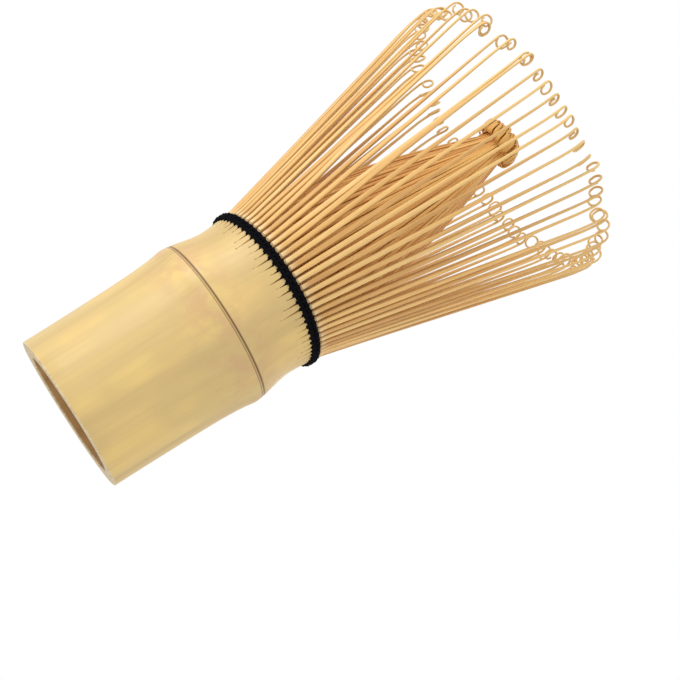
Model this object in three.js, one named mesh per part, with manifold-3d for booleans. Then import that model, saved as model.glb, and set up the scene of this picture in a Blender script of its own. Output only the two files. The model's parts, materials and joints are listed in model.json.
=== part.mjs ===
// A bamboo tea whisk (chasen), standing on the cut end of its handle.
// The origin is the centre of the cut end, +Z runs up to the tips, and sizes are in millimetres.
// The handle and every tine are cut from one section of bamboo. Near its top the wall is split into an
// outer ring that flares and an inner ring that closes into a bundle, with thread laced between them.
import * as THREE from "three";
import { mergeVertices } from "three/addons/utils/BufferGeometryUtils.js";
import Module from "manifold-3d";

// Whole whisk
const TOTAL_HEIGHT = 105;
const TIP_RADIUS = 30.5;
const CLEARANCE = 0.3;

// Handle: a length of culm with one node, hollow on both sides of the node's wall
const HANDLE_RADIUS = 15.75;
const HANDLE_TAPER = 0.45;
const WALL = 3.3;
const NODE_HEIGHT = 31.4;
const NODE_BULGE = 0.75;
const NODE_LENGTH = 5.2;
const SEPTUM_THICKNESS = 3.2;
const CUT_EDGE = 0.35;
const HANDLE_SIDES = 48;

// Binding: thread laced round the tines, slightly crooked, so it is higher on the -Y side
const BAND_HEIGHT = 44;
const BAND_LENGTH = 2.2;
const BAND_TILT = THREE.MathUtils.degToRad(5.76);
const THREAD_PROUD = 0.55;
const LACING_THICKNESS = 0.5;
const LACING_LENGTH = 1.6;
const KNOT_ANGLE = THREE.MathUtils.degToRad(200);
const KNOT_RADIUS = 0.7;

// Rings of tines, split above the slit line
const WAIST_INSET = 0.35;
const SLIT_BELOW_BAND = 2.2;
const SLIT_WIDTH = 0.35;
const FLARE_BEND = 1.6;
const OUTER_STRIPS = 18;
const TINES_PER_STRIP = 4;
const OUTER_THICKNESS = 1.1;
const TINE_ROOT_INSET = 0.1;
const TINE_BEND_THICKNESS = 0.85;
const TINE_TIP_WIDTH = 0.5;
const TINE_TIP_THICKNESS = 0.4;
const HOOK_REACH = 5.7;
const HOOK_RADIUS = 1.9;
const HOOK_END_RADIUS = 0.9;
const HOOK_TURN = THREE.MathUtils.degToRad(275);
const HOOK_STEPS = 5;

// Inner ring: it closes to a neck and opens again into a small rosette
const INNER_STRIPS = 9;
const INNER_THICKNESS = 1.2;
const INNER_TIP_THICKNESS = 0.5;
const NECK_RADIUS = 2.9;
const NECK_BELOW_TOP = 8;
const ROSETTE_RADIUS = 4.4;
const ROSETTE_BELOW_TOP = 1.5;
const BUNDLE_BOW = 3.4;
const BUNDLE_STEPS = 5;

// Places worked out from the sizes above
const waistRadius = HANDLE_RADIUS - WAIST_INSET;
const slitHeight = BAND_HEIGHT - SLIT_BELOW_BAND;
const flare = Math.atan2(TIP_RADIUS - waistRadius, TOTAL_HEIGHT - HOOK_REACH - slitHeight);
const bandTop = BAND_HEIGHT + BAND_LENGTH / 2;
const nodeTop = NODE_HEIGHT + NODE_LENGTH / 2;
const boreRadius = HANDLE_RADIUS - WALL;
const outerInside = waistRadius + flareGrowth(BAND_HEIGHT) - OUTER_THICKNESS;
const lacingOutside = outerInside - CLEARANCE;
const innerOutside = lacingOutside - LACING_THICKNESS - CLEARANCE;
const innerMiddle = innerOutside - INNER_THICKNESS / 2;
const outerSector = (2 * Math.PI) / OUTER_STRIPS;
const tinePitch = outerSector / TINES_PER_STRIP;
const innerSector = (2 * Math.PI) / INNER_STRIPS;

// How much wider the outer ring is at a height than at its waist: a straight flare with a soft start
function flareGrowth(z) {
  const rise = z - slitHeight;
  return (Math.tan(flare) * (rise + Math.hypot(rise, FLARE_BEND))) / 2;
}

// The middle of the outer ring's wall at a height
function outerMiddle(z) {
  return waistRadius + flareGrowth(z) - OUTER_THICKNESS / 2;
}

// The crooked binding lifts what it holds on one side; the node below and the tips above stay level
function crookedZ(y, z) {
  const fromBelow = THREE.MathUtils.smoothstep(z, nodeTop, slitHeight);
  const fromAbove = 1 - THREE.MathUtils.smoothstep(z, bandTop + BAND_LENGTH, (bandTop + TOTAL_HEIGHT) / 2);
  return z - Math.tan(BAND_TILT) * y * fromBelow * fromAbove;
}

function crook(geometry) {
  const point = geometry.attributes.position;
  for (let i = 0; i < point.count; i += 1) {
    point.setZ(i, crookedZ(point.getY(i), point.getZ(i)));
  }
  return geometry;
}

// Material finishes
const finish = (color, roughness) => new THREE.MeshStandardMaterial({ color, roughness, metalness: 0 });
const culmSkin = finish("#d8bd84", 0.5);
const tineSkin = finish("#d9a866", 0.55);
const innerFlesh = finish("#c98f4d", 0.65);
const blackThread = finish("#17171c", 0.85);

const whisk = new THREE.Group();

function addPart(name, geometry, material) {
  const mesh = new THREE.Mesh(geometry, material.clone());
  mesh.name = name;
  whisk.add(mesh);
}

// A solid turned about the Z axis from [radius, height] points
function turned(points) {
  const profile = points.map(([radius, height]) => new THREE.Vector2(radius, height));
  return crook(new THREE.LatheGeometry(profile, HANDLE_SIDES).rotateX(Math.PI / 2));
}

// A bar that follows stations in the plane of one angle. Each station has a radius, a height, a heading
// from upright, and a thickness; widthAt gives the width round the axis at a point's radius and station.
function bentBar(angle, stations, aroundSteps, widthAt) {
  const along = stations.length - 1;
  const bar = new THREE.BoxGeometry(1, 1, 1, 1, aroundSteps, along);
  const point = bar.attributes.position;
  for (let i = 0; i < point.count; i += 1) {
    const step = Math.round((point.getZ(i) + 0.5) * along);
    const station = stations[step];
    const out = point.getX(i) * station.thickness;
    const r = station.radius + Math.cos(station.heading) * out;
    const z = station.height - Math.sin(station.heading) * out;
    const turn = angle + (point.getY(i) * widthAt(r, station)) / r;
    const y = r * Math.sin(turn);
    point.setXYZ(i, r * Math.cos(turn), y, crookedZ(y, z));
  }
  return bar;
}

const wasm = await Module();
wasm.setup();

function toSolid(geometry) {
  const bare = geometry.clone();
  bare.deleteAttribute("normal");
  bare.deleteAttribute("uv");
  const merged = mergeVertices(bare, 1e-4);
  return new wasm.Manifold(
    new wasm.Mesh({
      numProp: 3,
      vertProperties: merged.attributes.position.array,
      triVerts: new Uint32Array(merged.index.array),
    }),
  );
}

function joined(geometries) {
  const [first, ...others] = geometries.map(toSolid);
  const { vertProperties, triVerts } = others.reduce((sum, next) => sum.add(next), first).getMesh();
  const geometry = new THREE.BufferGeometry();
  geometry.setAttribute("position", new THREE.BufferAttribute(vertProperties, 3));
  geometry.setIndex(new THREE.BufferAttribute(triVerts, 1));
  geometry.computeVertexNormals();
  return geometry;
}

// Handle
function culm() {
  const waistZ = nodeTop + (slitHeight - nodeTop) * 0.6;
  const topZ = slitHeight - CLEARANCE;
  const septumBottom = NODE_HEIGHT - SEPTUM_THICKNESS / 2;
  const septumTop = NODE_HEIGHT + SEPTUM_THICKNESS / 2;
  const nodeRadius = HANDLE_RADIUS + HANDLE_TAPER + NODE_BULGE;
  const below = NODE_HEIGHT - NODE_LENGTH / 2;
  const cupRadius = innerOutside - INNER_THICKNESS;
  return turned([
    [0, septumBottom],
    [boreRadius, septumBottom],
    [boreRadius, 0],
    [HANDLE_RADIUS - CUT_EDGE, 0],
    [HANDLE_RADIUS, CUT_EDGE],
    [HANDLE_RADIUS + HANDLE_TAPER, below - NODE_LENGTH],
    [HANDLE_RADIUS + HANDLE_TAPER + NODE_BULGE / 3, below],
    [nodeRadius, NODE_HEIGHT - NODE_LENGTH / 3],
    [nodeRadius - NODE_BULGE / 4, NODE_HEIGHT],
    [nodeRadius - NODE_BULGE / 4, NODE_HEIGHT + NODE_LENGTH / 6],
    [HANDLE_RADIUS + HANDLE_TAPER, nodeTop + NODE_LENGTH / 6],
    [waistRadius + flareGrowth(waistZ), waistZ],
    [waistRadius + flareGrowth(topZ), topZ],
    [cupRadius, topZ],
    [cupRadius, septumTop],
    [0, septumTop],
  ]);
}

// The hook at a tine's end: it turns in towards the axis and tightens. Points start from zero.
function hookPath() {
  const path = [{ radius: 0, height: 0, heading: flare }];
  for (let i = 1; i <= HOOK_STEPS; i += 1) {
    const before = path[i - 1];
    const turn = HOOK_TURN / HOOK_STEPS;
    const bend = THREE.MathUtils.lerp(HOOK_RADIUS, HOOK_END_RADIUS, (i - 0.5) / HOOK_STEPS);
    const middle = before.heading - turn / 2;
    const chord = 2 * bend * Math.sin(turn / 2);
    path.push({
      radius: before.radius + Math.sin(middle) * chord,
      height: before.height + Math.cos(middle) * chord,
      heading: before.heading - turn,
    });
  }
  return path;
}

// A tine's stations from the middle of the band to the end of its hook
function outerStations() {
  const hook = hookPath();
  const half = TINE_TIP_THICKNESS / 2;
  const hookTop = Math.max(...hook.map((p) => p.height + Math.abs(Math.sin(p.heading)) * half));
  const hookOut = Math.max(...hook.map((p) => p.radius + Math.abs(Math.cos(p.heading)) * half));
  const hookStart = TOTAL_HEIGHT - hookTop;
  const hookStartRadius = TIP_RADIUS - hookOut;
  const bendEnd = bandTop + 3 * FLARE_BEND;
  const rootWidth = tinePitch * outerMiddle(BAND_HEIGHT) - SLIT_WIDTH;
  const stem = [
    {
      radius: outerMiddle(BAND_HEIGHT),
      height: BAND_HEIGHT,
      heading: flare / 2,
      thickness: OUTER_THICKNESS - TINE_ROOT_INSET,
      width: rootWidth,
    },
    {
      radius: outerMiddle(bendEnd),
      height: bendEnd,
      heading: flare,
      thickness: TINE_BEND_THICKNESS,
      width: rootWidth,
    },
  ];
  const tip = hook.map(({ radius, height, heading }) => ({
    radius: hookStartRadius + radius,
    height: hookStart + height,
    heading,
    thickness: TINE_TIP_THICKNESS,
    width: TINE_TIP_WIDTH,
  }));
  return [...stem, ...tip];
}

// Outer strips: each is one block of the split wall with its tines
function rootStations(middleAt, thickness) {
  return [slitHeight, BAND_HEIGHT, bandTop].map((height) => ({
    radius: middleAt(height),
    height,
    heading: 0,
    thickness,
  }));
}

const outerRoot = rootStations(outerMiddle, OUTER_THICKNESS);
const outerPath = outerStations();

for (let strip = 0; strip < OUTER_STRIPS; strip += 1) {
  const angle = (strip + 0.5) * outerSector;
  const pieces = [bentBar(angle, outerRoot, TINES_PER_STRIP, (r) => outerSector * r - CLEARANCE)];
  for (let tine = 0; tine < TINES_PER_STRIP; tine += 1) {
    const tineAngle = angle + (tine - (TINES_PER_STRIP - 1) / 2) * tinePitch;
    pieces.push(bentBar(tineAngle, outerPath, 1, (r, station) => station.width));
  }
  addPart(`outer_tines_${String(strip + 1).padStart(2, "0")}`, joined(pieces), tineSkin);
}

// Inner strips: they rise from the band, close to the neck and roll outwards at the top
function innerStations() {
  const neckZ = TOTAL_HEIGHT - NECK_BELOW_TOP;
  const topZ = TOTAL_HEIGHT - ROSETTE_BELOW_TOP;
  const half = INNER_TIP_THICKNESS / 2;
  const rollRadius = (ROSETTE_RADIUS - NECK_RADIUS) / 2;
  const spine = new THREE.CubicBezierCurve(
    new THREE.Vector2(innerMiddle, bandTop),
    new THREE.Vector2(innerMiddle, (bandTop + neckZ) / 2),
    new THREE.Vector2(NECK_RADIUS + BUNDLE_BOW, neckZ - NECK_BELOW_TOP),
    new THREE.Vector2(NECK_RADIUS - half, neckZ),
  );
  const rise = spine.getPoints(BUNDLE_STEPS).map((point, i) => {
    const tangent = spine.getTangent(i / BUNDLE_STEPS);
    return {
      radius: point.x,
      height: point.y,
      heading: Math.atan2(tangent.x, tangent.y),
      thickness: THREE.MathUtils.lerp(INNER_THICKNESS, INNER_TIP_THICKNESS, i / BUNDLE_STEPS),
    };
  });
  const roll = [
    { radius: NECK_RADIUS, height: (neckZ + topZ) / 2, heading: Math.PI / 12 },
    { radius: NECK_RADIUS + rollRadius, height: topZ - half, heading: Math.PI / 2 },
    { radius: ROSETTE_RADIUS - half, height: topZ - rollRadius * 3, heading: Math.PI },
  ].map((station) => ({ ...station, thickness: INNER_TIP_THICKNESS }));
  const root = rootStations(() => innerMiddle, INNER_THICKNESS).slice(0, 2);
  return [...root, ...rise, ...roll];
}

const innerPath = innerStations();
const innerAroundSteps = 4;

for (let strip = 0; strip < INNER_STRIPS; strip += 1) {
  const angle = (strip + 0.5) * innerSector;
  const petal = bentBar(angle, innerPath, innerAroundSteps, (r) => innerSector * r - CLEARANCE);
  addPart(`inner_tines_${String(strip + 1).padStart(2, "0")}`, petal, innerFlesh);
}

// Threads
function roundedRing(inside, thickness, length, lobes) {
  const points = [[inside, BAND_HEIGHT - length / 2 + thickness / 4]];
  for (let lobe = 0; lobe < lobes; lobe += 1) {
    const middle = BAND_HEIGHT - length / 2 + (length * (lobe + 0.5)) / lobes;
    const reach = length / lobes / 2;
    points.push([inside + thickness * 0.6, middle - reach * 0.8]);
    points.push([inside + thickness, middle - reach * 0.3]);
    points.push([inside + thickness, middle + reach * 0.3]);
    points.push([inside + thickness * 0.6, middle + reach * 0.8]);
  }
  points.push([inside, BAND_HEIGHT + length / 2 - thickness / 4]);
  points.push(points[0]);
  return turned(points);
}

const bindingInside = waistRadius + flareGrowth(bandTop) + CLEARANCE;
const lacingInside = lacingOutside - LACING_THICKNESS;
addPart("handle_culm", culm(), culmSkin);
addPart("binding_thread", roundedRing(bindingInside, THREAD_PROUD, BAND_LENGTH, 2), blackThread);
addPart("lacing_thread", roundedRing(lacingInside, LACING_THICKNESS, LACING_LENGTH, 1), blackThread);

const knotDistance = innerOutside - INNER_THICKNESS - CLEARANCE - KNOT_RADIUS;
const knot = new THREE.SphereGeometry(KNOT_RADIUS, 10, 8).translate(
  knotDistance * Math.cos(KNOT_ANGLE),
  knotDistance * Math.sin(KNOT_ANGLE),
  BAND_HEIGHT,
);
addPart("thread_knot", crook(knot), blackThread);

export default whisk;
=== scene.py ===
# %% [markdown]
# # A bamboo tea whisk
# This lesson finishes a whisk whose sizes and joints are already settled. It starts by loading that
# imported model, because every piece made here has to sit on it and move with it.

import json
import math
import random

import bmesh
import bpy
from mathutils import Matrix, Vector


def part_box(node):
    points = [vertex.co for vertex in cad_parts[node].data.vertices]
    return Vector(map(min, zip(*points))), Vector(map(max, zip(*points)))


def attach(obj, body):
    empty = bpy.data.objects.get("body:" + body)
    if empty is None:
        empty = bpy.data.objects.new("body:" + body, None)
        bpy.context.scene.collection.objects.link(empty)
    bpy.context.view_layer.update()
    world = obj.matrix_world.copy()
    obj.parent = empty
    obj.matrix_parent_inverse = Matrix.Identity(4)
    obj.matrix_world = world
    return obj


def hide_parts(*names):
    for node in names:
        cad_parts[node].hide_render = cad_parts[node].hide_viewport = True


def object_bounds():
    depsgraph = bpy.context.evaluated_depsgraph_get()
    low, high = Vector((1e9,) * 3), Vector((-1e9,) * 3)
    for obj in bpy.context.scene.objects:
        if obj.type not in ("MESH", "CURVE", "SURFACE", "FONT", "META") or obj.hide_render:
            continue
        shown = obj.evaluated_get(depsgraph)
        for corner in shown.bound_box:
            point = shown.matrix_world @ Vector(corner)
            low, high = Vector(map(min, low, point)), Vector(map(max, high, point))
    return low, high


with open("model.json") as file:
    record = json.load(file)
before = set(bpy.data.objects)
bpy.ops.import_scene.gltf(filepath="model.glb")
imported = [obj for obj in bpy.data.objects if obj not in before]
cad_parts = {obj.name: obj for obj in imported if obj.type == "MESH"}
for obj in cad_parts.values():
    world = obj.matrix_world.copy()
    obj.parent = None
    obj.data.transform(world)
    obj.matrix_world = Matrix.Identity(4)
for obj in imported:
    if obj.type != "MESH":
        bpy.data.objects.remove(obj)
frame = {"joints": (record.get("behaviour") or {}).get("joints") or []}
cad_box = [list(corner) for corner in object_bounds()]
MM = 0.001

# %% [markdown]
# ## Where things are
# The thread band is the datum of the whole whisk: the tines hinge there, and it sits slightly crooked.
# Its height and slope could be typed in, but the hinges of the outer strips all lie in its plane, so
# they are read from there and can't drift away from the joints. All lengths here are in millimetres.

# %% Read the binding's plane and the rings from the frame
def hinges(prefix):
    found = [joint for joint in frame["joints"] if joint["name"].startswith(prefix)]
    return sorted(found, key=lambda joint: joint["name"])


outer_hinges = hinges("outer_flex")
inner_hinges = hinges("inner_flex")
hinge_points = [Vector(joint["pos_m"]) / MM for joint in outer_hinges]
BAND_HEIGHT = sum(point.z for point in hinge_points) / len(hinge_points)
BAND_SLOPE = -sum((point.z - BAND_HEIGHT) * point.y for point in hinge_points) / sum(
    point.y**2 for point in hinge_points
)
TOTAL_HEIGHT = cad_box[1][2] / MM
TIP_RADIUS = cad_box[1][0] / MM
OUTER_MIDDLE = hinge_points[0].xy.length
INNER_MIDDLE = (Vector(inner_hinges[0]["pos_m"]) / MM).xy.length
BAND_LENGTH = 2.2
FADE_START = BAND_HEIGHT + 1.5 * BAND_LENGTH
FADE_END = (BAND_HEIGHT + BAND_LENGTH / 2 + TOTAL_HEIGHT) / 2
NODE_TOP = 34.0
SLIT_HEIGHT = BAND_HEIGHT - BAND_LENGTH


def smooth_step(value, low, high):
    share = min(max((value - low) / (high - low), 0.0), 1.0)
    return share * share * (3 - 2 * share)


def crooked(point):
    """The crooked binding lifts what it holds on the -Y side. The node and the tips stay level."""
    held = smooth_step(point.z, NODE_TOP, SLIT_HEIGHT) * (1 - smooth_step(point.z, FADE_START, FADE_END))
    return Vector((point.x, point.y, point.z - BAND_SLOPE * point.y * held))


print(f"band at {BAND_HEIGHT:.2f} mm, slope {math.degrees(math.atan(BAND_SLOPE)):.2f} degrees")

# %% [markdown]
# ## Shared material pieces
# Bamboo is a bundle of straight fibres, so every bamboo surface has the same long streaks at its own
# scale. They could be built again in each material, but one node group that each material places with
# its own stretch keeps them alike. The group stretches a position and reads a broad and a fine noise.

# %% A node group for long fibres
def noise(nodes, vector_socket, links, scale, detail, roughness=0.55):
    texture = nodes.new("ShaderNodeTexNoise")
    texture.inputs["Scale"].default_value = scale
    texture.inputs["Detail"].default_value = detail
    texture.inputs["Roughness"].default_value = roughness
    links.new(vector_socket, texture.inputs["Vector"])
    return texture.outputs["Fac"]


def make_fibre_group():
    group = bpy.data.node_groups.new("Bamboo fibre", "ShaderNodeTree")
    group.interface.new_socket("Position", in_out="INPUT", socket_type="NodeSocketVector")
    group.interface.new_socket("Stretch", in_out="INPUT", socket_type="NodeSocketVector")
    group.interface.new_socket("Broad", in_out="OUTPUT", socket_type="NodeSocketFloat")
    group.interface.new_socket("Fine", in_out="OUTPUT", socket_type="NodeSocketFloat")
    source = group.nodes.new("NodeGroupInput")
    sink = group.nodes.new("NodeGroupOutput")
    stretched = group.nodes.new("ShaderNodeVectorMath")
    stretched.operation = "MULTIPLY"
    group.links.new(source.outputs["Position"], stretched.inputs[0])
    group.links.new(source.outputs["Stretch"], stretched.inputs[1])
    broad = noise(group.nodes, stretched.outputs[0], group.links, 0.35, 3)
    fine = noise(group.nodes, stretched.outputs[0], group.links, 2.4, 4, 0.7)
    group.links.new(broad, sink.inputs["Broad"])
    group.links.new(fine, sink.inputs["Fine"])
    return group


FIBRE = make_fibre_group()
print("the fibre group has", len(FIBRE.nodes), "nodes")


# %% Helpers for wiring a material
class Finish:
    """A material being built: its nodes, its links and the Principled shader at its end."""

    def __init__(self, name, roughness):
        self.material = bpy.data.materials.new(name)
        self.material.use_nodes = True
        self.nodes = self.material.node_tree.nodes
        self.links = self.material.node_tree.links
        self.shader = self.nodes["Principled BSDF"]
        self.shader.inputs["Roughness"].default_value = roughness

    def ramp(self, factor, *stops):
        node = self.nodes.new("ShaderNodeValToRGB")
        elements = node.color_ramp.elements
        while len(elements) < len(stops):
            elements.new(0.5)
        for element, (place, colour) in zip(elements, stops):
            element.position = place
            element.color = (*colour, 1.0)
        self.links.new(factor, node.inputs["Fac"])
        return node.outputs["Color"]

    def mix(self, factor, first, second, blend="MIX"):
        node = self.nodes.new("ShaderNodeMix")
        node.data_type = "RGBA"
        node.blend_type = blend
        sockets = (node.inputs["Factor"], node.inputs[6], node.inputs[7])
        for socket, value in zip(sockets, (factor, first, second)):
            if isinstance(value, bpy.types.NodeSocket):
                self.links.new(value, socket)
            elif isinstance(value, tuple):
                socket.default_value = (*value, 1.0)
            else:
                socket.default_value = value
        return node.outputs[2]

    def span(self, value, low, high, start=0.0, end=1.0):
        node = self.nodes.new("ShaderNodeMapRange")
        node.interpolation_type = "SMOOTHSTEP"
        self.links.new(value, node.inputs["Value"])
        node.inputs["From Min"].default_value = low
        node.inputs["From Max"].default_value = high
        node.inputs["To Min"].default_value = start
        node.inputs["To Max"].default_value = end
        return node.outputs["Result"]

    def math(self, operation, first, second):
        node = self.nodes.new("ShaderNodeMath")
        node.operation = operation
        for socket, value in zip(node.inputs, (first, second)):
            if isinstance(value, bpy.types.NodeSocket):
                self.links.new(value, socket)
            else:
                socket.default_value = value
        return node.outputs[0]

    def attribute(self, name):
        node = self.nodes.new("ShaderNodeAttribute")
        node.attribute_name = name
        return node.outputs["Vector"]

    def split(self, vector):
        node = self.nodes.new("ShaderNodeSeparateXYZ")
        self.links.new(vector, node.inputs[0])
        return node.outputs[0], node.outputs[1], node.outputs[2]

    def fibres(self, position, stretch):
        node = self.nodes.new("ShaderNodeGroup")
        node.node_tree = FIBRE
        self.links.new(position, node.inputs["Position"])
        node.inputs["Stretch"].default_value = stretch
        return node.outputs["Broad"], node.outputs["Fine"]

    def done(self, colour, height, strength, distance):
        bump = self.nodes.new("ShaderNodeBump")
        bump.inputs["Strength"].default_value = strength
        bump.inputs["Distance"].default_value = distance * MM
        self.links.new(height, bump.inputs["Height"])
        self.links.new(bump.outputs["Normal"], self.shader.inputs["Normal"])
        self.links.new(colour, self.shader.inputs["Base Color"])
        return self.material


# %% [markdown]
# ## Culm skin
# The handle keeps the natural skin: pale straw yellow with long soft streaks, a brown scar where the
# sheath grew, and pinkish blotches round the node. Each surface could have a material of its own, but
# a "culm" attribute that tells scar, bore and sawn end apart lets one material blend them softly.

# %% Culm skin material
def make_culm_material():
    finish = Finish("culm_skin", 0.42)
    finish.shader.inputs["Specular IOR Level"].default_value = 0.3
    place = finish.attribute("grain")
    scar, inside, cut = finish.split(finish.attribute("culm"))
    broad, fine = finish.fibres(place, (0.62, 0.62, 0.03))
    skin = finish.ramp(
        broad,
        (0.28, (0.62, 0.435, 0.175)),
        (0.47, (0.74, 0.53, 0.215)),
        (0.66, (0.85, 0.61, 0.225)),
    )
    patch = noise(finish.nodes, place, finish.links, 0.06, 2)
    skin = finish.mix(finish.span(patch, 0.40, 0.62, 0.55, 0.0), skin, (0.66, 0.485, 0.215))
    streak = finish.ramp(fine, (0.3, (0.90, 0.87, 0.82)), (0.7, (1.03, 1.03, 1.02)))
    skin = finish.mix(0.32, skin, streak, "MULTIPLY")
    blotch = noise(finish.nodes, place, finish.links, 0.22, 4)
    height = finish.split(place)[2]
    below_node = finish.span(height, 21, 30)
    above_node = finish.span(height, 32, 38, 1.0, 0.3)
    near_node = finish.math("MULTIPLY", below_node, above_node)
    pink = finish.math("MULTIPLY", finish.span(blotch, 0.42, 0.62), near_node)
    skin = finish.mix(finish.math("MULTIPLY", pink, 0.6), skin, (0.66, 0.41, 0.21))
    bore = finish.ramp(broad, (0.30, (0.46, 0.255, 0.095)), (0.70, (0.64, 0.39, 0.165)))
    sawn = finish.ramp(fine, (0.35, (0.58, 0.42, 0.22)), (0.65, (0.90, 0.78, 0.55)))
    colour = finish.mix(inside, skin, bore)
    colour = finish.mix(cut, colour, sawn)
    colour = finish.mix(scar, colour, (0.17, 0.09, 0.035))
    dull = finish.math("MAXIMUM", finish.math("MULTIPLY", inside, 0.95), finish.math("MULTIPLY", cut, 0.8))
    roughness = finish.math("MAXIMUM", dull, finish.span(broad, 0.3, 0.7, 0.46, 0.36))
    finish.links.new(roughness, finish.shader.inputs["Roughness"])
    return finish.done(colour, fine, 0.12, 0.12)


CULM_MATERIAL = make_culm_material()
print("the culm's skin has", len(CULM_MATERIAL.node_tree.nodes), "nodes")

# %% [markdown]
# ## Tine bamboo
# The tines are shaved from the same wall, so they show the warmer flesh under the skin. They change
# tone towards their thin ends, their flanks are darkened with painted shade that is deepest near the
# root, the outer face just above the binding is paler shaved flesh with a painted highlight, and each
# one differs a little from its neighbours. A colour for each tine would need 144 materials, so two
# attributes carry it instead: "grain" holds millimetres across, into and along a tine, and "life"
# holds the share of its length, its tone and how near a point is to the outward face.

# %% Tine materials
def make_tine_material(name, dark, middle, pale, end_colour, roughness):
    finish = Finish(name, roughness)
    share, tone, skin = finish.split(finish.attribute("life"))
    broad, fine = finish.fibres(finish.attribute("grain"), (2.2, 2.2, 0.12))
    mixed = finish.math("ADD", finish.math("MULTIPLY", broad, 0.6), finish.math("MULTIPLY", tone, 0.4))
    flesh = finish.ramp(mixed, (0.28, dark), (0.50, middle), (0.74, pale))
    streak = finish.ramp(fine, (0.34, (0.80, 0.76, 0.70)), (0.66, (1.05, 1.04, 1.02)))
    flesh = finish.mix(0.7, flesh, streak, "MULTIPLY")
    # Paler shaved flesh on the outer face just above the binding, with a painted highlight where the tines'
    # shoulders catch the light
    peeled_and_highlight = finish.math("MULTIPLY", finish.span(share, 0.012, 0.05, 1.0, 0.0), skin)
    flesh = finish.mix(finish.math("MULTIPLY", peeled_and_highlight, 0.8), flesh, (0.88, 0.68, 0.38))
    end = finish.math("MULTIPLY", finish.span(share, 0.55, 1.0), 0.75)
    flesh = finish.mix(end, flesh, end_colour)
    # Painted shade: the flanks darken towards the gaps between tines, most near the root
    painted_flank_shade = finish.span(share, 0.1, 0.9, 0.55, 0.20)
    painted_flank_shade = finish.math("MULTIPLY", painted_flank_shade, finish.span(skin, 0.0, 0.6, 1.0, 0.0))
    flesh = finish.mix(painted_flank_shade, flesh, (0.30, 0.10, 0.010))
    return finish.done(flesh, fine, 0.15, 0.06)


OUTER_MATERIAL = make_tine_material(
    "outer_tine_bamboo",
    dark=(0.68, 0.37, 0.115),
    middle=(0.88, 0.53, 0.18),
    pale=(0.94, 0.62, 0.24),
    end_colour=(0.84, 0.60, 0.24),
    roughness=0.48,
)
INNER_MATERIAL = make_tine_material(
    "inner_tine_bamboo",
    dark=(0.66, 0.31, 0.078),
    middle=(0.85, 0.45, 0.12),
    pale=(0.92, 0.555, 0.165),
    end_colour=(0.88, 0.52, 0.125),
    roughness=0.55,
)
print("each tine material has", len(OUTER_MATERIAL.node_tree.nodes), "nodes")

# %% [markdown]
# ## Black thread
# The binding is a soft twisted cotton thread. The twist could be painted on with a bump, but it would
# vanish at the outline, so most of its look is geometry, two plies that turn round each other. The
# material only adds fine fibres and a faint bluish black.

# %% Thread material
def make_thread_material():
    finish = Finish("thread", 0.9)
    place = finish.attribute("grain")
    fibre = noise(finish.nodes, place, finish.links, 9.0, 4, 0.7)
    colour = finish.ramp(fibre, (0.35, (0.001, 0.001, 0.0015)), (0.7, (0.009, 0.009, 0.013)))
    finish.shader.inputs["Specular IOR Level"].default_value = 0.06
    return finish.done(colour, fibre, 0.5, 0.08)


THREAD_MATERIAL = make_thread_material()
print("the thread has", len(THREAD_MATERIAL.node_tree.nodes), "nodes")

# %% [markdown]
# ## Bars that follow a path
# Tines, stitches and the knot are all long thin bars. A curve with a bevel would give them one
# cross-section from end to end, but a tine is thick at its root and thin at its tip. So one face is
# extruded from station to station, and each station says where the face goes, how wide and thick it
# is, and what the attributes hold there.

# %% Sweep one bar, and turn a bmesh into a finished piece
# Corners of a tine's cross-section, across and outwards, in shares of its width and thickness
CROWNED = (
    (-0.5, -0.3), (-0.34, -0.5), (0.34, -0.5), (0.5, -0.3), (0.5, 0.08),
    (0.36, 0.36), (0.0, 0.5), (-0.36, 0.36), (-0.5, 0.08),
)
SHARP_ANGLE = math.radians(38)
# Each tine reads its fibres this many millimetres away from the last tone's
TONE_SHIFT = 40


class Station:
    """One cross-section of a bar: side points round the whisk and out points away from the bar's back."""

    def __init__(self, centre, side, out, width, thickness, share, length):
        self.centre = centre
        self.side = side
        self.out = out
        self.width = width
        self.thickness = thickness
        self.share = share
        self.length = length


def new_mesh():
    bm = bmesh.new()
    return bm, bm.verts.layers.float_vector.new("grain"), bm.verts.layers.float_vector.new("life")


def sweep(made, stations, tone, outline=CROWNED):
    bm, grain, life = made

    def settle(vert, station, corner):
        u, v = corner
        across, deep = u * station.width, v * station.thickness
        vert.co = crooked(station.centre + station.side * across + station.out * deep) * MM
        vert[grain] = Vector((across + TONE_SHIFT * tone, deep, station.length))
        vert[life] = Vector((station.share, tone, smooth_step(v, 0.0, 0.45)))

    first = [bm.verts.new() for _ in outline]
    for vert, corner in zip(first, outline):
        settle(vert, stations[0], corner)
    face = bm.faces.new(first)
    for station in stations[1:]:
        face = bmesh.ops.extrude_discrete_faces(bm, faces=[face])["faces"][0]
        for vert, corner in zip(face.verts, outline):
            settle(vert, station, corner)
    bm.faces.new(reversed(first))


def finished(bm, name, material, body, nodes):
    bmesh.ops.recalc_face_normals(bm, faces=bm.faces)
    for face in bm.faces:
        face.smooth = True
    for edge in bm.edges:
        edge.smooth = len(edge.link_faces) == 2 and edge.calc_face_angle() < SHARP_ANGLE
    mesh = bpy.data.meshes.new(name)
    bm.to_mesh(mesh)
    bm.free()
    mesh.materials.append(material)
    piece = bpy.data.objects.new(name, mesh)
    bpy.context.scene.collection.objects.link(piece)
    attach(piece, body)
    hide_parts(*nodes)
    return piece


# %% [markdown]
# ## The handle
# The handle is one profile spun round the axis. The cuts between two tines run out below the binding
# in a thin dark wedge. They could be cut with Booleans, but 72 cuts leave a ragged mesh, so columns of
# the spun wall are moved instead: they close up round each slit, and the slit's own column sinks in.

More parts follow.
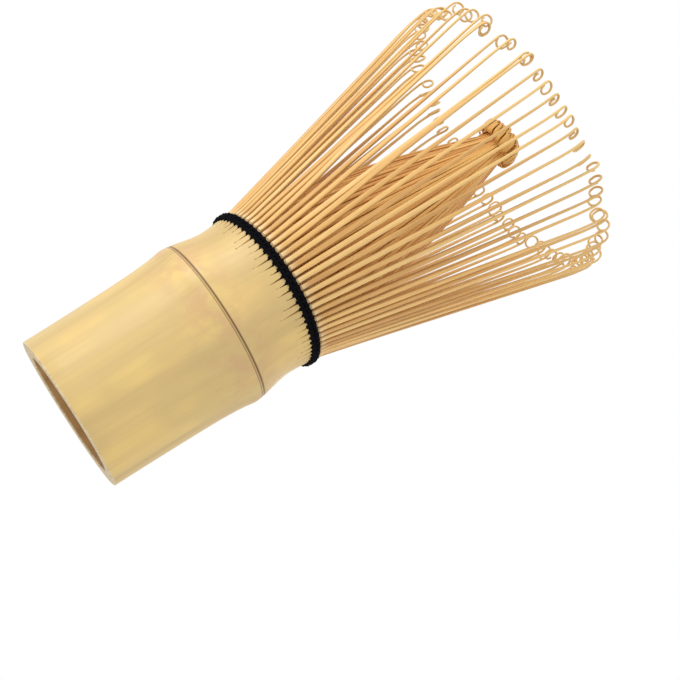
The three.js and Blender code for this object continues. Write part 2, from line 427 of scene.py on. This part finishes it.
# %% The culm's profile
TINES = 72
COLUMNS_PER_TINE = 6
TINE_PITCH = 2 * math.pi / TINES
# The top of the solid wall, and the ring-shaped split in it that parts outer from inner tines
MERLON_TOP = BAND_HEIGHT - 0.15
SPLIT_INSIDE = 14.0
SPLIT_OUTSIDE = 14.85
SPLIT_FLOOR = MERLON_TOP - 1.3
# The wall inside the node, dished from both sides within a smaller radius
CUP_RADIUS = 12.6
SEPTUM_BOTTOM = 29.8
SEPTUM_TOP = 33.0
DISH_RADIUS = 6.0
# The skin's outline
NODE_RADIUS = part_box("handle_culm")[1].x / MM
NODE_HEIGHT = 30.5
HANDLE_RADIUS = NODE_RADIUS - 1.2
BORE_RADIUS = NODE_RADIUS - 4.55
WAIST_DEPTH = 1.26
WAIST_HEIGHT = 39.3
TOP_SWELL = 0.39
GROOVE_DEPTH = 0.15
# Height, half width and darkness of the two lines that the leaf sheath left
SCARS = ((31.95, 0.15, 0.55), (32.42, 0.27, 1.0))


def skin_radius(height):
    """The bare handle swells to the node, falls to the waist and widens again under the tines."""
    if height < NODE_HEIGHT:
        climb = height / NODE_HEIGHT
        radius = HANDLE_RADIUS + (NODE_RADIUS - HANDLE_RADIUS) * (climb**1.6 + climb**10) / 2
    else:
        rise = max(height - WAIST_HEIGHT, 0.0) / (MERLON_TOP - WAIST_HEIGHT)
        fall = WAIST_DEPTH * smooth_step(height, NODE_HEIGHT, WAIST_HEIGHT)
        radius = NODE_RADIUS - fall + TOP_SWELL * rise**1.5
    near_groove = max(1 - abs(height - middle) / reach for middle, reach, _ in SCARS)
    return radius - GROOVE_DEPTH * max(near_groove, 0.0)


def skin_heights():
    """Rows are wide apart on the plain handle and close at the node, its grooves and the slits."""
    heights = [0.3] + [3.0 * row for row in range(1, 10)] + [28.5, 29.5, 30.2, 31.0]
    heights += [middle + reach * step for middle, reach, _ in SCARS for step in (-1.0, -0.45, 0.45, 1.0)]
    slit_rows = 18
    first = SCARS[-1][0] + 0.8
    return heights + [first + (MERLON_TOP - first) * row / slit_rows for row in range(slit_rows + 1)]


FOOT_OUTLINE = ((HANDLE_RADIUS - 0.3, 0.0), (HANDLE_RADIUS - 0.09, 0.08))
SKIN_OUTLINE = FOOT_OUTLINE + tuple((skin_radius(height), height) for height in skin_heights())
TOP_OUTLINE = (
    (SPLIT_OUTSIDE, MERLON_TOP), (SPLIT_OUTSIDE, SPLIT_FLOOR), (SPLIT_INSIDE, SPLIT_FLOOR),
    (SPLIT_INSIDE, MERLON_TOP), (CUP_RADIUS, MERLON_TOP),
)
INSIDE_OUTLINE = (
    (CUP_RADIUS, SEPTUM_TOP + 1), (CUP_RADIUS - 0.6, SEPTUM_TOP),
    (DISH_RADIUS, SEPTUM_TOP - 0.5), (0.0, SEPTUM_TOP - 0.7),
)
# The row just above the rim keeps the sawn end's colour from fading up the bore
BORE_OUTLINE = (
    (0.0, SEPTUM_BOTTOM + 0.8), (DISH_RADIUS, SEPTUM_BOTTOM + 0.5),
    (BORE_RADIUS - 0.8, SEPTUM_BOTTOM), (BORE_RADIUS, SEPTUM_BOTTOM - 1.2),
    (BORE_RADIUS + 0.05, 15.0), (BORE_RADIUS, 0.4),
    (BORE_RADIUS, 0.12), (BORE_RADIUS + 0.12, 0.0),
)
print("the culm's profile has", len(SKIN_OUTLINE), "rows on its skin")


# %% Spin the profile and open the slits
SLIT_DEPTH_RANGE = (2.0, 3.7)
LONG_SLIT_EXTRA = 1.6
LONG_SLIT_CHANCE = 0.14
SLIT_HALF_WIDTH = 0.30
SLIT_SINK = 1.0
SAWN_FACE_HEIGHT = 0.2


def slit_depths():
    """How far each slit runs down from the top of the wall. A few run further than the rest."""
    chance = random.Random(11)
    depths = []
    for _ in range(TINES):
        depth = chance.uniform(*SLIT_DEPTH_RANGE)
        depths.append(depth + (LONG_SLIT_EXTRA if chance.random() < LONG_SLIT_CHANCE else 0.0))
    return depths


def culm_marks(height, on_skin, at_end):
    """How much of the scar, the bore and the sawn face a point belongs to."""
    scar = max(
        dark * smooth_step(1 - abs(height - middle) / reach, 0.0, 0.5) for middle, reach, dark in SCARS
    )
    inside = 0.0 if on_skin or at_end else 1.0
    return Vector((scar * on_skin * 0.9, inside, at_end))


def make_culm():
    bm = bmesh.new()
    grain = bm.verts.layers.float_vector.new("grain")
    marks = bm.verts.layers.float_vector.new("culm")
    outline = [(point, 0.0) for point in BORE_OUTLINE]
    outline += [(point, 1.0) for point in SKIN_OUTLINE]
    outline += [(point, 0.0) for point in TOP_OUTLINE + INSIDE_OUTLINE]
    column = []
    for (radius, height), on_skin in outline:
        vert = bm.verts.new((radius, 0.0, height))
        at_end = 1.0 if height < SAWN_FACE_HEIGHT else 0.0
        vert[marks] = culm_marks(height, on_skin, at_end)
        column.append(vert)
    edges = [bm.edges.new(pair) for pair in zip(column, column[1:])]
    bmesh.ops.spin(
        bm,
        geom=column + edges,
        cent=(0, 0, 0),
        axis=(0, 0, 1),
        angle=2 * math.pi,
        steps=TINES * COLUMNS_PER_TINE,
        use_merge=True,
        use_normal_flip=False,
    )
    bmesh.ops.remove_doubles(bm, verts=bm.verts, dist=1e-5)
    depths = slit_depths()
    for vert in bm.verts:
        vert[grain] = vert.co
        vert.co = crooked(slit_open(vert.co, depths)) * MM
    return bm


def slit_open(point, depths):
    """Moves one point of the wall: columns close up round a slit, and the slit's own column sinks in."""
    radius = point.xy.length
    if radius < SPLIT_OUTSIDE - 0.1 or point.z < NODE_TOP:
        return point
    turn = math.atan2(point.y, point.x)
    place = turn / TINE_PITCH
    slit = round(place)
    column = round((place - slit) * COLUMNS_PER_TINE)
    apex = MERLON_TOP - depths[slit % TINES]
    opening = min(max((point.z - apex) / (MERLON_TOP - apex), 0.0), 1.0)
    if opening == 0.0 or abs(column) > 1:
        return point
    half_width = SLIT_HALF_WIDTH * opening / radius
    if column == 0:
        radius -= SLIT_SINK * math.sqrt(opening)
        turn = slit * TINE_PITCH
    else:
        turn = slit * TINE_PITCH + math.copysign(half_width, column)
    return Vector((radius * math.cos(turn), radius * math.sin(turn), point.z))


culm = finished(make_culm(), "handle", CULM_MATERIAL, "handle", ["handle_culm"])
print("handle has", len(culm.data.polygons), "faces")

# %% [markdown]
# ## Outer tines
# Each tine leaves the binding square and thick, is shaved thin just above it, runs straight out and
# ends in a hook that is bent into a ring. The hook could be one circle, but the real curl is uneven,
# so it is five arcs: a slow lead-in, a bend, the turn over the top, a short way back and the curl that
# closes the ring. No two hooks of a hand-carved whisk match, so every tine draws its own small errors.

# %% Outer tine shape
FLARE = math.atan2(TIP_RADIUS - (OUTER_MIDDLE - 0.1), TOTAL_HEIGHT - 5.7 - SLIT_HEIGHT)
FLARE_BEND = 1.6
WAIST_RADIUS = 15.4
# Rise above the root, width, thickness and how far the tine is set in, up to where it is shaved thin
ROOT_ROWS = (
    (0.0, 1.0, 0.85, 0.42),
    (0.85, 1.04, 0.85, 0.42),
    (1.25, 1.06, 1.0, 0.0),
    (2.0, 1.0, 0.86, 0.12),
    (3.0, 1.0, 0.80, 0.18),
)
STEM_SHARES = (0.04, 0.12, 0.25, 0.4, 0.55, 0.7, 0.85, 1.0)
STEM_WIDTH = 1.10
STEM_THICKNESS = 0.80
STEM_INSET = 0.18
TINE_TIP_THICKNESS = 0.40
TINE_TIP_WIDTH = 0.50
TIP_WEAR = 1.1
# Turn in degrees, length and number of steps of each arc
HOOK_ARCS = ((8, 4.4, 3), (34, 1.4, 2), (146, 2.6, 7), (20, 0.7, 1), (152, 2.5, 7))
HOOK_SLIDE = 0.55
HOOK_NARROWING = 0.12
HOOK_GRAIN_STEP = 0.5
# Angle round the whisk, and how far the hooks there are turned sideways, both in degrees
HOOK_TURNS = (
    (-180, -30), (-140, -45), (-69, -45), (-63, 8), (25, 8),
    (45, -45), (95, -45), (140, -30), (180, -30),
)
# Mean and deviation of what each tine draws for itself
HOOK_SIZE = (1.1, 0.09)
CURL_ERROR = (0, 25)
TOP_ERROR = (-0.8, 0.45)
DRIFT = (0, 0.33)
YAW_ERROR = (0, 13)
SPREAD = (-0.45, 0.28)
CLUMPED_DRIFT = 0.3


def outer_skin(height):
    rise = height - SLIT_HEIGHT
    return WAIST_RADIUS + math.tan(FLARE) * (rise + math.hypot(rise, FLARE_BEND)) / 2


def hook_points(size, extra_turn):
    """(radius, height, heading) points of a hook that starts from zero, heading along the flare.

    The extra turn, in degrees, opens or tightens the last arc.
    """
    radius, height, heading = 0.0, 0.0, FLARE
    points = [(radius, height, heading)]
    for turn, length, steps in HOOK_ARCS:
        bend = math.radians(turn + (extra_turn if turn == HOOK_ARCS[-1][0] else 0)) / steps
        for _ in range(steps):
            heading -= bend / 2
            radius += math.sin(heading) * length * size / steps
            height += math.cos(heading) * length * size / steps
            heading -= bend / 2
            points.append((radius, height, heading))
    return points


def hook_turn_at(angle):
    """How far, in degrees, the hooks at this angle are turned sideways."""
    place = math.degrees(angle)
    for (start, first), (end, second) in zip(HOOK_TURNS, HOOK_TURNS[1:]):
        if start <= place <= end:
            return first + (second - first) * (place - start) / (end - start)
    return HOOK_TURNS[0][1]


def outer_tine(angle, chance, lean):
    """The stations of one tine at this angle. Lean is the turn that brings its tip to a clump."""
    size = chance.gauss(*HOOK_SIZE)
    hook = hook_points(size, chance.gauss(*CURL_ERROR))
    top = max(height for _, height, _ in hook)
    start = TOTAL_HEIGHT - TINE_TIP_THICKNESS / 2 - top + min(0.0, chance.gauss(*TOP_ERROR))
    start -= TIP_WEAR * (1 - math.cos(angle)) / 2
    drift = chance.gauss(*DRIFT) * (CLUMPED_DRIFT if lean else 1.0)
    yaw = math.radians(hook_turn_at(angle) + chance.gauss(*YAW_ERROR))
    spread = chance.gauss(*SPREAD)
    base = BAND_HEIGHT + 0.15
    stem = [base + rise for rise, _, _, _ in ROOT_ROWS]
    root_top = stem[-1]
    stem += [root_top + share * (start - root_top) for share in STEM_SHARES]
    out = Vector((math.cos(angle), math.sin(angle), 0))
    side = Vector((-math.sin(angle), math.cos(angle), 0))
    up = Vector((0, 0, 1))
    stations = []
    for i, height in enumerate(stem):
        share = (height - base) / (TOTAL_HEIGHT - base)
        if i < len(ROOT_ROWS):
            _, width, thickness, inset = ROOT_ROWS[i]
        else:
            width = STEM_WIDTH + (TINE_TIP_WIDTH - STEM_WIDTH) * smooth_step(share, 0.22, 0.95)
            thinning = smooth_step(share, 0.15, 1.0)
            thickness = STEM_THICKNESS + (TINE_TIP_THICKNESS - STEM_THICKNESS) * thinning
            inset = STEM_INSET * (1 - share)
        middle = outer_skin(height) - inset - thickness / 2 + spread * share
        across = middle * lean * smooth_step(share, 0.0, 0.6) + drift * share**2
        centre = out * middle + side * across + up * height
        normal = out * math.cos(FLARE) - up * math.sin(FLARE)
        stations.append(Station(centre, side, normal, width, thickness, share, height))
    last = stations[-1]
    inward = (out * math.cos(yaw) + side * math.sin(yaw)).normalized()
    cross = (side * math.cos(yaw) - out * math.sin(yaw)).normalized()
    step_share = (1.0 - last.share) / len(hook)
    for k, (radius, height, heading) in enumerate(hook[1:], start=1):
        twist = smooth_step(k, 0, len(hook) * 0.45)
        direction = (out * (1 - twist) + inward * twist).normalized()
        across = (side * (1 - twist) + cross * twist).normalized()
        slide = cross * (HOOK_SLIDE * smooth_step(k, len(hook) * 0.5, len(hook)))
        centre = last.centre + direction * radius + up * height + slide
        normal = direction * math.cos(heading) - up * math.sin(heading)
        share = last.share + step_share * k
        narrow = 1 - HOOK_NARROWING * k / len(hook)
        width = TINE_TIP_WIDTH * narrow
        thickness = TINE_TIP_THICKNESS * narrow
        length = last.length + HOOK_GRAIN_STEP * k
        stations.append(Station(centre, across, normal, width, thickness, share, length))
    return stations


print(f"the outer tines flare {math.degrees(FLARE):.1f} degrees")


# %% [markdown]
# Where a whisk has been packed and used, some neighbouring tines stick together in twos and threes and
# leave a gap beside them. LEANS names those places by their angle round the whisk and how far to each
# side they reach, in degrees. The tines lean as they are made and their hooks keep their shape, where
# a modifier that bends a whole strip would bend its hooks too.

# %% Outer tines, four to a strip
OUTER_TINES_PER_STRIP = 4
LEANS = ((-132.5, 7.4), (-110, 5))
CLUMP_PULL = 0.77


def lean_at(angle):
    """The turn round the whisk that brings a tine at this angle to its clump."""
    total = 0.0
    for middle, reach in LEANS:
        away = (math.degrees(angle) - middle + 180) % 360 - 180
        if abs(away) < reach:
            total -= CLUMP_PULL * math.radians(away)
    return total


outer_chance = random.Random(7)
for number, hinge in enumerate(outer_hinges, start=1):
    strip_angle = math.atan2(hinge["pos_m"][1], hinge["pos_m"][0])
    made = new_mesh()
    for tine in range(OUTER_TINES_PER_STRIP):
        tine_angle = strip_angle + (tine - (OUTER_TINES_PER_STRIP - 1) / 2) * TINE_PITCH
        sweep(made, outer_tine(tine_angle, outer_chance, lean_at(tine_angle)), outer_chance.random())
    name = f"outer_tines_{number:02d}"
    finished(made[0], f"{name}_carved", OUTER_MATERIAL, hinge["child"], [name])
print("outer tines:", OUTER_TINES_PER_STRIP * len(outer_hinges))

# %% [markdown]
# ## Inner tines
# The inner ring is split from the same wall. Its tines close to a narrow neck, turning slightly round
# the axis as they go, and roll outwards into a rosette. The bundle could be one closed cone with
# grooves, but then no light falls between the tines. Each is its own bar along a smooth curve, and they
# lie in two layers at the neck, because one layer has no room for them.

# %% Inner tine shape
NECK_HEIGHT = TOTAL_HEIGHT - 6.8
INNER_TWIST = math.radians(26)
INNER_STEPS = 14
INNER_WIDTH = 1.12
INNER_THICKNESS = 0.95
NECK_THICKNESS = 0.36
ROSETTE_WIDENING = 0.20
# Neck radius, rise of the neck and width at the neck, for the outer and then the inner layer
LAYERS = ((2.95, 0.0, 0.52), (2.45, 0.7, 0.44))
# Turn in degrees, length and number of steps of each arc of the rosette
ROLL_ARCS = ((22, 1.5, 2), (14, 1.5, 2), (150, 2.15, 7), (20, 1.5, 2), (80, 1.0, 3))
# Mean and deviation of what each inner tine draws for itself
NECK_ERROR = (0, 0.06)
NECK_HEIGHT_ERROR = (0, 0.28)
ROLL_SIZE = (1.0, 0.06)
ROLL_SLANT = (24, 5)
BOW = (0, 0.4)


def bezier(points, share):
    """The point at this share of a smooth curve that four points pull into shape."""
    a, b, c, d = points
    rest = 1 - share
    return a * rest**3 + b * 3 * rest**2 * share + c * 3 * rest * share**2 + d * share**3


def inner_tine(angle, chance, layer):
    """The stations of one inner tine whose neck lies in this layer."""
    neck_radius, neck_rise, neck_width = layer
    base = BAND_HEIGHT + 0.2
    neck = neck_radius + chance.gauss(*NECK_ERROR)
    neck_height = NECK_HEIGHT + neck_rise + chance.gauss(*NECK_HEIGHT_ERROR)
    roll = chance.gauss(*ROLL_SIZE)
    slant = math.radians(chance.gauss(*ROLL_SLANT))
    bow = chance.gauss(*BOW)
    path = (
        Vector((INNER_MIDDLE, base)),
        Vector((INNER_MIDDLE + 0.4, base + 22)),
        Vector((6.2 + bow, neck_height - 11)),
        Vector((neck, neck_height)),
    )
    spine = [bezier(path, k / INNER_STEPS) for k in range(INNER_STEPS + 1)]
    points = [(point.x, point.y) for point in spine]
    heading = math.atan2(points[-1][0] - points[-2][0], points[-1][1] - points[-2][1])
    radius, height = points[-1]
    for turn, length, steps in ROLL_ARCS:
        for _ in range(steps):
            heading += math.radians(turn) / steps / 2
            radius += math.sin(heading) * length * roll / steps
            height += math.cos(heading) * length * roll / steps
            heading += math.radians(turn) / steps / 2
            points.append((radius, height))
    stations = []
    last = len(points) - 1
    travelled = 0.0
    for k, (radius, height) in enumerate(points):
        before = points[max(k - 1, 0)]
        after = points[min(k + 1, last)]
        travelled += math.hypot(radius - before[0], height - before[1])
        course = math.atan2(after[0] - before[0], after[1] - before[1])
        share = k / last
        twist = INNER_TWIST * smooth_step(share, 0.05, 1.0)
        turn = angle + twist + slant * smooth_step(k, INNER_STEPS, last)
        out = Vector((math.cos(turn), math.sin(turn), 0))
        side = Vector((-math.sin(turn), math.cos(turn), 0))
        normal = out * math.cos(course) - Vector((0, 0, 1)) * math.sin(course)
        narrowing = smooth_step(height, base, neck_height)
        rosette = smooth_step(k, INNER_STEPS, INNER_STEPS + 6)
        width = INNER_WIDTH + (neck_width - INNER_WIDTH) * narrowing + ROSETTE_WIDENING * rosette
        thickness = INNER_THICKNESS + (NECK_THICKNESS - INNER_THICKNESS) * min(narrowing * 1.3, 1.0)
        centre = out * radius + Vector((0, 0, height))
        stations.append(Station(centre, side, normal, width, thickness, share, travelled))
    return stations


print(f"the inner tines close to a neck at {NECK_HEIGHT:.1f} mm")

# %% Inner tines, eight to a strip
INNER_TINES_PER_STRIP = 8
inner_chance = random.Random(23)
for number, hinge in enumerate(inner_hinges, start=1):
    strip_angle = math.atan2(hinge["pos_m"][1], hinge["pos_m"][0])
    made = new_mesh()
    for tine in range(INNER_TINES_PER_STRIP):
        tine_angle = strip_angle + (tine - (INNER_TINES_PER_STRIP - 1) / 2) * TINE_PITCH
        sweep(made, inner_tine(tine_angle, inner_chance, LAYERS[tine % 2]), inner_chance.random())
    name = f"inner_tines_{number:02d}"
    finished(made[0], f"{name}_carved", INNER_MATERIAL, hinge["child"], [name])
print("inner tines:", INNER_TINES_PER_STRIP * len(inner_hinges))

# %% [markdown]
# ## Thread
# The binding is laced: two rounds of thread lie on the outer tines, and at every gap a stitch comes out
# from inside, crosses both rounds and goes back in. The rounds dip a little at each gap. A torus would
# do for a smooth round, but not for the dips and the twist, so each round is a chain of circles that
# are bridged into one tube.

# %% Thread rounds and stitches
PLIES = 2
PLY_SWELL = 0.13
TURNS_PER_TINE = 1.5
ROUND_SIDES = 10
ROUND_STEPS_PER_TINE = 6
BINDING_RADIUS = 16.24
BINDING_OFFSET = 0.41
BINDING_THICKNESS = 0.84
BINDING_WAVE = -0.14
STITCH_FOOT_RADIUS = 15.5
STITCH_RISE = 1.06
STITCH_WIDTH = 0.7
STITCH_THICKNESS = 0.52
STITCH_SLOPE_RANGE = (0.15, 0.5)
STITCH_STEPS = 9


def ply_outline(sides):
    """The corners of a round cross-section with this many sides."""
    turns = [2 * math.pi * k / sides for k in range(sides)]
    return [(math.cos(turn) / 2, math.sin(turn) / 2) for turn in turns]


def round_of_thread(made, radius, height, thickness, wave):
    """A closed round of thread. The wave, in mm, moves it out or in where it crosses a gap."""
    bm, grain, _ = made
    steps = TINES * ROUND_STEPS_PER_TINE
    rings = []
    for step in range(steps):
        turn = 2 * math.pi * step / steps
        out = Vector((math.cos(turn), math.sin(turn), 0))
        centre = out * (radius + wave * math.cos(TINES * turn)) + Vector((0, 0, height))
        ring = bmesh.ops.create_circle(bm, cap_ends=False, radius=0.5, segments=ROUND_SIDES)["verts"]
        rings.append(list({edge for vert in ring for edge in vert.link_edges}))
        for vert in ring:
            u, v = vert.co.xy
            ply = PLIES * math.atan2(v, u) - TURNS_PER_TINE * turn * TINES
            swell = thickness * (1 + PLY_SWELL * math.cos(ply))
            vert.co = crooked(centre + out * (u * swell) + Vector((0, 0, v * swell))) * MM
            vert[grain] = Vector((radius * turn, u * thickness, v * thickness))
    for first, second in zip(rings, rings[1:] + rings[:1]):
        bmesh.ops.bridge_loops(bm, edges=first + second)


def stitch(made, angle, chance):
    """One stitch that comes out under the band, crosses it and goes back in above it."""
    slope = chance.uniform(*STITCH_SLOPE_RANGE)
    stations = []
    for k in range(STITCH_STEPS + 1):
        share = k / STITCH_STEPS
        turn = angle + TINE_PITCH * slope * (share - 0.5)
        over = math.sin(math.pi * share)
        radius = STITCH_FOOT_RADIUS + STITCH_RISE * over**0.6
        height = BAND_HEIGHT + (share - 0.5) * (BAND_LENGTH - 0.1)
        out = Vector((math.cos(turn), math.sin(turn), 0))
        side = Vector((-math.sin(turn), math.cos(turn), 0))
        course = math.pi * (share - 0.5) * 0.9
        normal = out * math.cos(course) + Vector((0, 0, 1)) * math.sin(course)
        centre = out * radius + Vector((0, 0, height))
        length = 3 * share
        stations.append(Station(centre, side, normal, STITCH_WIDTH, STITCH_THICKNESS, share, length))
    sweep(made, stations, chance.random(), ply_outline(6))


thread_chance = random.Random(5)
made = new_mesh()
for offset in (-BINDING_OFFSET, BINDING_OFFSET):
    round_of_thread(made, BINDING_RADIUS, BAND_HEIGHT + offset, BINDING_THICKNESS, BINDING_WAVE)
for tine in range(TINES):
    stitch(made, tine * TINE_PITCH, thread_chance)
binding = finished(
    made[0], "binding_thread_laced", THREAD_MATERIAL, "handle", ["binding_thread"]
)
print("the binding has", len(binding.data.polygons), "faces")

# %% [markdown]
# Between the two rings of tines the same thread runs round twice, weaving outwards and inwards. So it
# is two more rounds, one above the other, whose waves run against each other. Its end is tied in a
# small knot. A knot could be drawn by hand as a curve, but a few sines give an even one.

# %% Lacing between the rings
LACING_RADIUS = 14.35
LACING_WAVE = 0.12
made = new_mesh()
round_of_thread(made, LACING_RADIUS, BAND_HEIGHT, thickness=0.7, wave=LACING_WAVE)
round_of_thread(made, LACING_RADIUS, BAND_HEIGHT + 0.62, thickness=0.6, wave=-LACING_WAVE)
lacing = finished(
    made[0], "lacing_thread_inside", THREAD_MATERIAL, "handle", ["lacing_thread"]
)
print("the lacing has", len(lacing.data.polygons), "faces")

# %% The end knot
KNOT_RADIUS = 0.42
KNOT_DEPTH = 0.3
KNOT_THICKNESS = 0.36
KNOT_STEPS = 40
# The thread's two cut ends stay a little apart
KNOT_SPAN = 0.95


def knot_point(share):
    turn = 2 * math.pi * share
    along = KNOT_RADIUS * (math.sin(turn) + 1.4 * math.sin(2 * turn))
    across = KNOT_RADIUS * (math.cos(turn) - 1.4 * math.cos(2 * turn))
    return along, across, KNOT_DEPTH * math.sin(3 * turn)


low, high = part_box("thread_knot")
knot_middle = (low + high) / 2 / MM
knot_stations = []
for k in range(KNOT_STEPS + 1):
    here = Vector(knot_point(KNOT_SPAN * k / KNOT_STEPS))
    ahead = (Vector(knot_point(KNOT_SPAN * (k + 1) / KNOT_STEPS)) - here).normalized()
    side = ahead.cross(Vector((0.3, 0.2, 1))).normalized()
    centre = knot_middle + Vector((here.z, here.x, here.y + BAND_SLOPE * knot_middle.y))
    side = Vector((side.z, side.x, side.y))
    ahead = Vector((ahead.z, ahead.x, ahead.y))
    length = 3 * k / KNOT_STEPS
    across = side.cross(ahead)
    knot_stations.append(Station(centre, side, across, KNOT_THICKNESS, KNOT_THICKNESS, 0, length))
made = new_mesh()
sweep(made, knot_stations, 0.5, ply_outline(8))
knot = finished(made[0], "thread_end_knot", THREAD_MATERIAL, "handle", ["thread_knot"])
print("the knot has", len(knot.data.polygons), "faces")

# %% [markdown]
# ## Floor
# The whisk stands on a pale floor. The camera looks up at it from just below the floor's level, where a
# plain plane would hide the whisk. So the floor shows only its upper face, its underside lets
# everything through, and it fades out away from the whisk, so that it has no far edge.

# %% Floor
FLOOR_REACH = 3.0
FLOOR_GAP = 0.0003
FLOOR_FADE = (0.08, 0.42)
FLOOR_COLOUR = (0.86, 0.86, 0.85, 1)


def make_floor():
    bm = bmesh.new()
    bmesh.ops.create_grid(bm, x_segments=1, y_segments=1, size=FLOOR_REACH)
    mesh = bpy.data.meshes.new("floor")
    bm.to_mesh(mesh)
    bm.free()
    floor = bpy.data.objects.new("floor", mesh)
    floor.location.z = -FLOOR_GAP
    bpy.context.scene.collection.objects.link(floor)
    finish = Finish("pale_floor", 0.9)
    finish.shader.inputs["Base Color"].default_value = FLOOR_COLOUR
    clear = finish.nodes.new("ShaderNodeBsdfTransparent")
    choose = finish.nodes.new("ShaderNodeMixShader")
    facing = finish.nodes.new("ShaderNodeNewGeometry")
    path = finish.nodes.new("ShaderNodeLightPath")
    output = finish.nodes["Material Output"]
    front = finish.math("SUBTRACT", 1.0, facing.outputs["Backfacing"])
    seen = finish.math("MULTIPLY", front, path.outputs["Is Camera Ray"])
    place = finish.nodes.new("ShaderNodeTexCoord").outputs["Object"]
    reach = finish.nodes.new("ShaderNodeVectorMath")
    reach.operation = "LENGTH"
    finish.links.new(place, reach.inputs[0])
    near = finish.span(reach.outputs["Value"], *FLOOR_FADE, 1.0, 0.0)
    seen = finish.math("MULTIPLY", seen, near)
    finish.links.new(seen, choose.inputs["Fac"])
    finish.links.new(clear.outputs[0], choose.inputs[1])
    finish.links.new(finish.shader.outputs[0], choose.inputs[2])
    finish.links.new(choose.outputs[0], output.inputs["Surface"])
    mesh.materials.append(finish.material)


make_floor()
print("the floor fades out", FLOOR_FADE[1], "m from the whisk")

# %% [markdown]
# ## Light and camera
# The room is white to the camera and a little dimmer as a light, and three round soft lamps give the
# whisk its lit side, an opened shadow side and an edge from behind. One hard lamp would be simpler, but
# it draws a hard shadow beside every tine. The camera is turned a quarter of a tine's pitch round
# the whisk, so that the far tines show between the near ones.

# %% Light
ROOM_LIGHT = 0.80
world = bpy.data.worlds.new("studio")
bpy.context.scene.world = world
world.use_nodes = True
background = world.node_tree.nodes["Background"]
background.inputs["Color"].default_value = (1, 1, 1, 1)
path = world.node_tree.nodes.new("ShaderNodeLightPath")
strength = world.node_tree.nodes.new("ShaderNodeMapRange")
strength.inputs["To Min"].default_value = ROOM_LIGHT
world.node_tree.links.new(path.outputs["Is Camera Ray"], strength.inputs["Value"])
world.node_tree.links.new(strength.outputs[0], background.inputs["Strength"])


def soft_light(name, place, aim, size, power):
    light = bpy.data.lights.new(name, "AREA")
    light.shape = "DISK"
    light.size = size
    light.energy = power
    lamp = bpy.data.objects.new(name, light)
    lamp.location = place
    lamp.rotation_euler = (Vector(aim) - Vector(place)).to_track_quat("-Z", "Y").to_euler()
    bpy.context.scene.collection.objects.link(lamp)


middle = (0, 0, TOTAL_HEIGHT * MM / 2)
soft_light("key", (-0.50, -0.22, 0.16), middle, size=0.30, power=1.6)
soft_light("fill", (0.34, -0.36, -0.02), middle, size=0.40, power=0.15)
soft_light("back", (0.15, 0.45, 0.35), middle, size=0.40, power=0.8)
print("lamps:", [light.name for light in bpy.data.lights])

# %% Camera
CAMERA_PLACE = (0.0, -0.29520, -0.01746)
CAMERA_LENS = 83.1
YAW, PITCH, ROLL = (math.radians(angle) for angle in (-3.06, 13.094, -57.086))

camera_data = bpy.data.cameras.new("camera")
camera_data.lens = CAMERA_LENS
camera_data.sensor_width = 36
camera_data.clip_start = 0.01
camera = bpy.data.objects.new("camera", camera_data)
bpy.context.scene.collection.objects.link(camera)
orbit = Matrix.Rotation(TINE_PITCH / 4, 3, "Z")
turn = orbit @ Matrix.Rotation(YAW, 3, "Z") @ Matrix.Rotation(PITCH, 3, "X") @ Matrix.Rotation(ROLL, 3, "Y")
right, ahead, above = turn.col[0], turn.col[1], turn.col[2]
aim = Matrix((right, above, -ahead)).transposed().to_4x4()
camera.matrix_world = Matrix.Translation(orbit @ Vector(CAMERA_PLACE)) @ aim
bpy.context.scene.camera = camera
bpy.context.scene.view_settings.view_transform = "Standard"
print(f"the camera stands {Vector(CAMERA_PLACE).length:.3f} m from the foot of the whisk")

# %% [markdown]
# ## Finish
# Last, the scene's view layer is brought up to date.

# %% Finish
bpy.context.view_layer.update()
